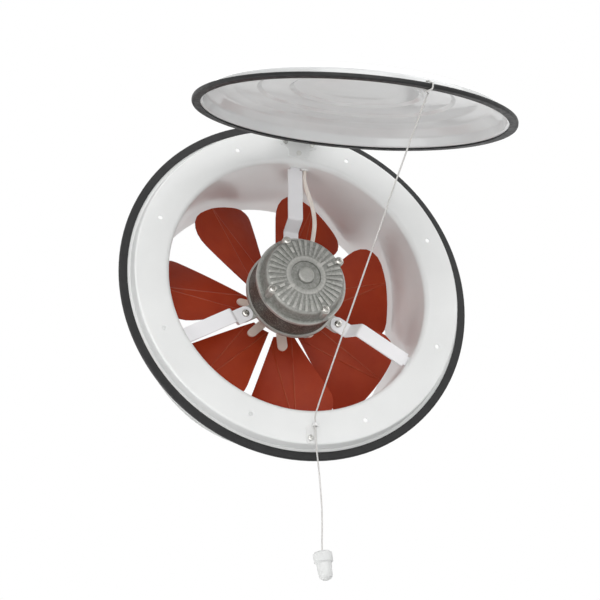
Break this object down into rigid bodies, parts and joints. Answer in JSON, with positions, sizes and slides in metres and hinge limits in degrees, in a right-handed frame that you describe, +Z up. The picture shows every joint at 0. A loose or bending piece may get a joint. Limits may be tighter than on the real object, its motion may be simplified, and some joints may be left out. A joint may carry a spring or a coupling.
{
  "type": "window exhaust fan",
  "caption": "Round window exhaust fan: short duct with a rubber-edged flange, strut-held motor, sheet impeller and a top-hinged domed lid closed by a pull cord.",
  "frame": {"origin": "centre of the wall-bolt circle, on the fan's axis in the plane of the flange's face", "axes": "+Y along the fan's axis, from the room to outdoors; +Z up towards the hinge; +X to the right as seen from the room"},
  "size_m": [0.356, 0.4232, 0.4758],
  "materials": {
    "housing_paint": "glossy off-white enamel on sheet steel",
    "lid_paint": "glossy off-white enamel on sheet steel",
    "black_rubber": "satin black rubber",
    "plated_steel": "zinc-plated steel",
    "spring_steel": "plain spring wire",
    "strut_paint": "white enamel on steel strip",
    "cast_alloy": "matte as-cast aluminium",
    "laminations": "varnished dark steel laminations",
    "copper": "enamelled copper wire",
    "bearing_steel": "ground steel",
    "hub_paint": "pale enamel on pressed steel",
    "blade_paint": "satin red-brown enamel on sheet steel",
    "lead_plastic": "cream plastic insulation",
    "terminal_plastic": "moulded cream plastic",
    "terminal_brass": "plain brass",
    "guide_plastic": "white moulded plastic",
    "cord_fibre": "white braided cord",
    "knob_plastic": "milky translucent plastic"
  },
  "bodies": {
    "frame": {"housing": "housing_paint", "flange_edging": "black_rubber", "fixed_hinge_leaf": "strut_paint", "hinge_pin": "plated_steel", "hinge_spring": "spring_steel", "hinge_rivets": "plated_steel", "strut_top": "strut_paint", "strut_right": "strut_paint", "strut_left": "strut_paint", "strut_screws": "plated_steel", "front_shield": "cast_alloy", "rear_shield": "cast_alloy", "stator_core": "laminations", "stator_windings": "copper", "through_bolts": "plated_steel", "through_nuts": "plated_steel", "front_bearing": "bearing_steel", "rear_bearing": "bearing_steel", "power_lead": "lead_plastic", "duct_grommet": "guide_plastic", "motor_grommet": "black_rubber", "terminal_block": "terminal_plastic", "terminal_screws": "terminal_brass", "cord_guide": "guide_plastic", "guide_screw": "plated_steel", "cord_run": "cord_fibre"},
    "lid": {"lid_shell": "lid_paint", "lid_edging": "black_rubber", "lid_hinge_leaf": "strut_paint", "cord_loop": "cord_fibre", "cord_knot": "cord_fibre"},
    "rotor": {"rotor_core": "laminations", "motor_shaft": "bearing_steel", "hub_spider": "hub_paint", "hub_collar": "plated_steel", "hub_set_screw": "bearing_steel", "hub_rivets": "plated_steel", "blade_1": "blade_paint", "blade_2": "blade_paint", "blade_3": "blade_paint", "blade_4": "blade_paint", "blade_5": "blade_paint", "blade_6": "blade_paint", "blade_7": "blade_paint"},
    "pull": {"cord_tail": "cord_fibre", "pull_knob": "knob_plastic"}
  },
  "joints": [
    {"name": "lid_hinge", "type": "hinge", "parent": "frame", "child": "lid", "pos_m": [0, -0.021, 0.162], "axis": [1, 0, 0], "range_deg": [0, 72.5], "stiffness_Nm_per_rad": 0.7, "springref_deg": -89.95, "deforming": ["cord_run", "hinge_spring"]},
    {"name": "fan_spin", "type": "hinge", "parent": "frame", "child": "rotor", "pos_m": [0, 0, 0], "axis": [0, 1, 0], "continuous": true},
    {"name": "cord_pull", "type": "slide", "parent": "frame", "child": "pull", "axis": [0, 0, -1], "range_m": [0, 0.35], "deforming": ["cord_tail"]}
  ],
  "couplings": [
    {"joint": "cord_pull", "follows": "lid_hinge", "m_per_rad": 0.272}
  ]
}
